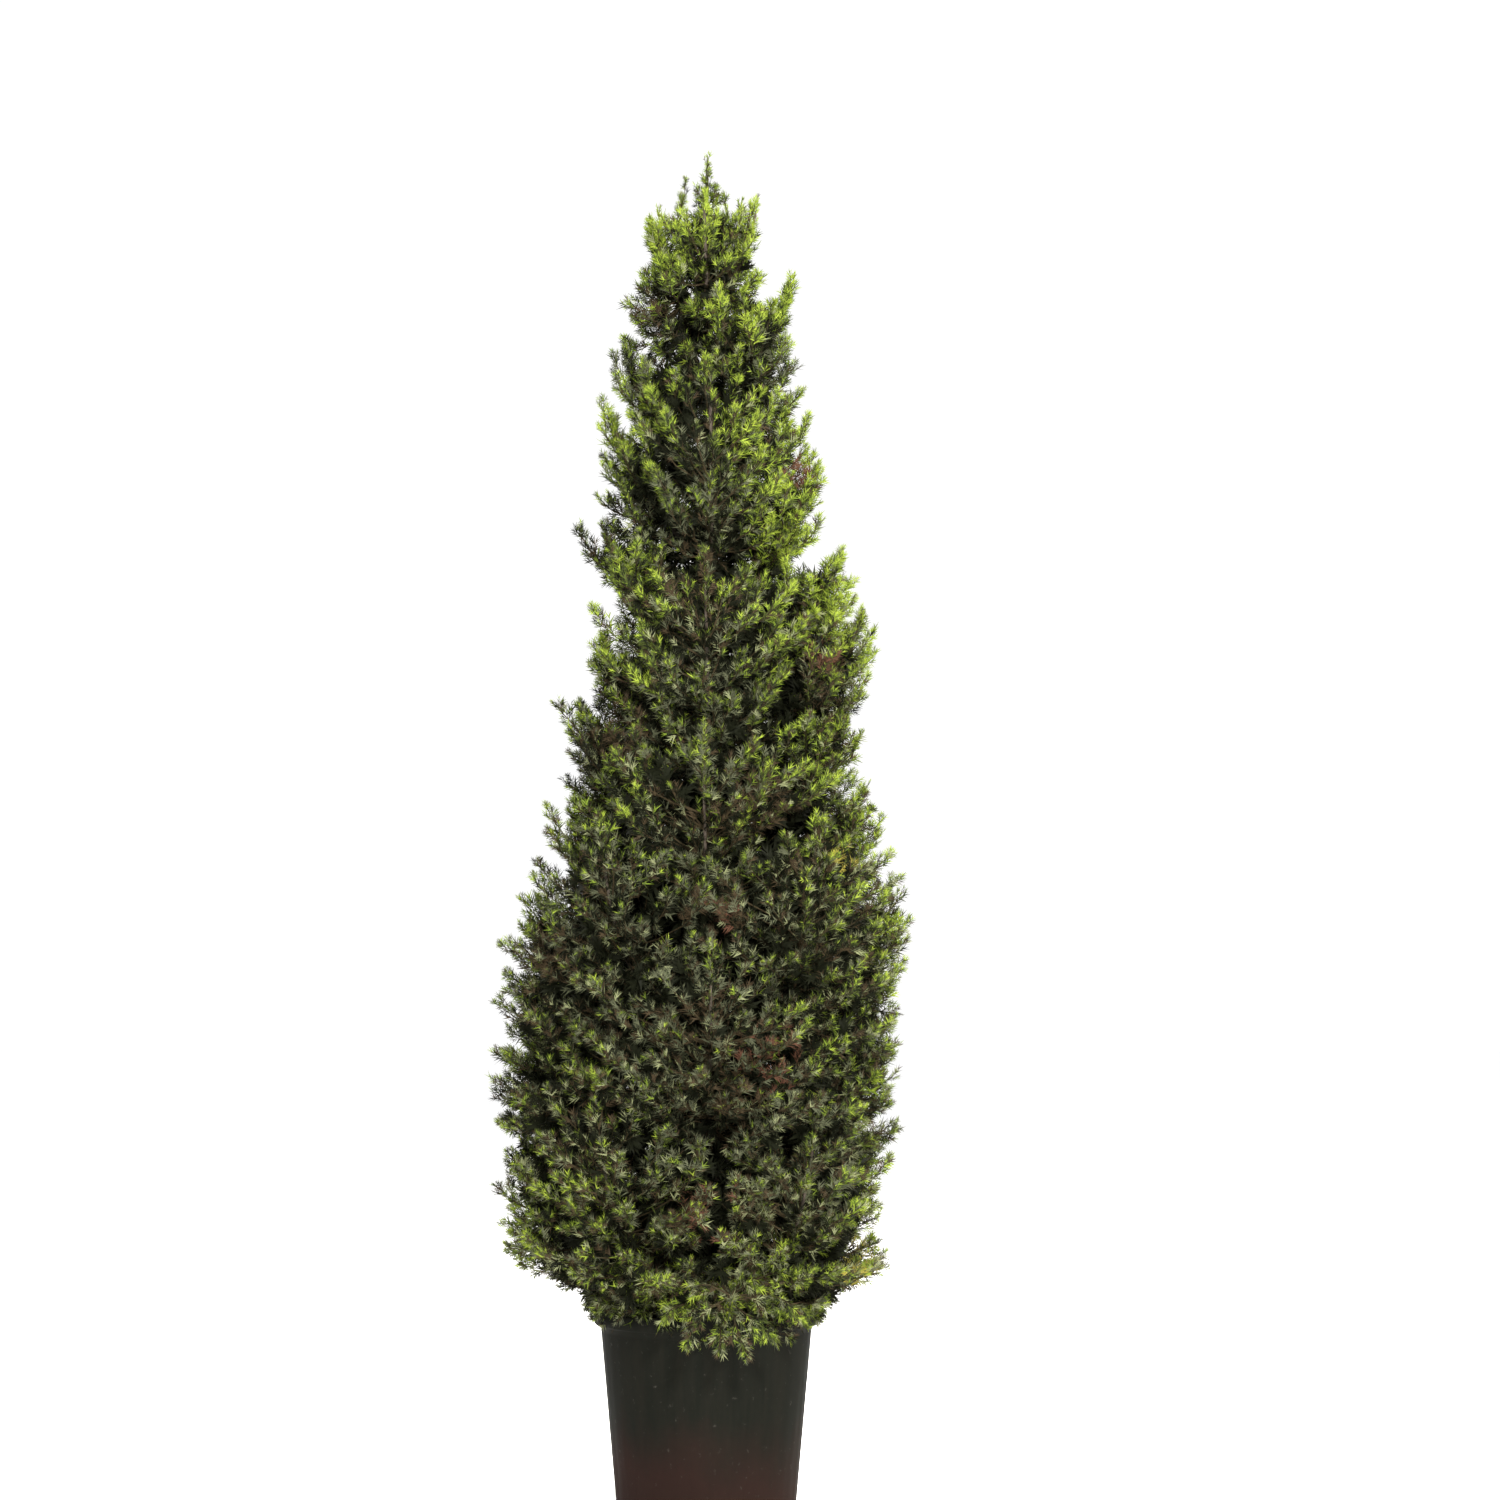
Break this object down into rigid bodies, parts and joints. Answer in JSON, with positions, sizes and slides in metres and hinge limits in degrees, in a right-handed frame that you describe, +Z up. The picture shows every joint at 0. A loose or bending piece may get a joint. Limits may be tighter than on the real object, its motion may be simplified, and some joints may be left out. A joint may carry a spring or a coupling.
{
  "type": "potted leyland cypress tree",
  "caption": "Narrow conical evergreen conifer with one leader and tiers of rising feathery foliage, standing in a round tapered nursery pot.",
  "frame": {"origin": "centre of the pot's flat underside, on the surface that the pot stands on", "axes": "+Z up along the trunk, -Y towards the picture's viewer, +X to that viewer's right"},
  "size_m": [0.7783, 0.769, 2.4768],
  "materials": {
    "pot_plastic": "matte",
    "compost": "rough crumbly",
    "bark": "rough",
    "foliage": "matt green scale leaves"
  },
  "bodies": {
    "root": {"bough_1_back": "bark", "bough_1_front_left": "bark", "bough_1_front_right": "bark", "bough_1_left": "bark", "bough_1_right": "bark", "bough_2_back_left": "bark", "bough_2_back_right": "bark", "bough_2_front": "bark", "bough_2_left": "bark", "bough_2_right": "bark", "bough_3_back": "bark", "bough_3_front_left": "bark", "bough_3_front_right": "bark", "bough_3_left": "bark", "bough_3_right": "bark", "bough_skirt": "bark", "compost": "compost", "foliage_10_back": "foliage", "foliage_10_front": "foliage", "foliage_10_left": "foliage", "foliage_10_right": "foliage", "foliage_1_back": "foliage", "foliage_1_front_left": "foliage", "foliage_1_front_right": "foliage", "foliage_1_left": "foliage", "foliage_1_right": "foliage", "foliage_2_back_left": "foliage", "foliage_2_back_right": "foliage", "foliage_2_front": "foliage", "foliage_2_left": "foliage", "foliage_2_right": "foliage", "foliage_3_back": "foliage", "foliage_3_front_left": "foliage", "foliage_3_front_right": "foliage", "foliage_3_left": "foliage", "foliage_3_right": "foliage", "foliage_4_back": "foliage", "foliage_4_front": "foliage", "foliage_4_left": "foliage", "foliage_4_right": "foliage", "foliage_5_left": "foliage", "foliage_5_right": "foliage", "foliage_6_back": "foliage", "foliage_6_front": "foliage", "foliage_6_left": "foliage", "foliage_6_right": "foliage", "foliage_7_left": "foliage", "foliage_7_right": "foliage", "foliage_8_back": "foliage", "foliage_8_front": "foliage", "foliage_8_left": "foliage", "foliage_8_right": "foliage", "foliage_9_left": "foliage", "foliage_9_right": "foliage", "foliage_leader": "foliage", "foliage_skirt": "foliage", "pot": "pot_plastic", "trunk": "bark"}
  },
  "joints": []
}
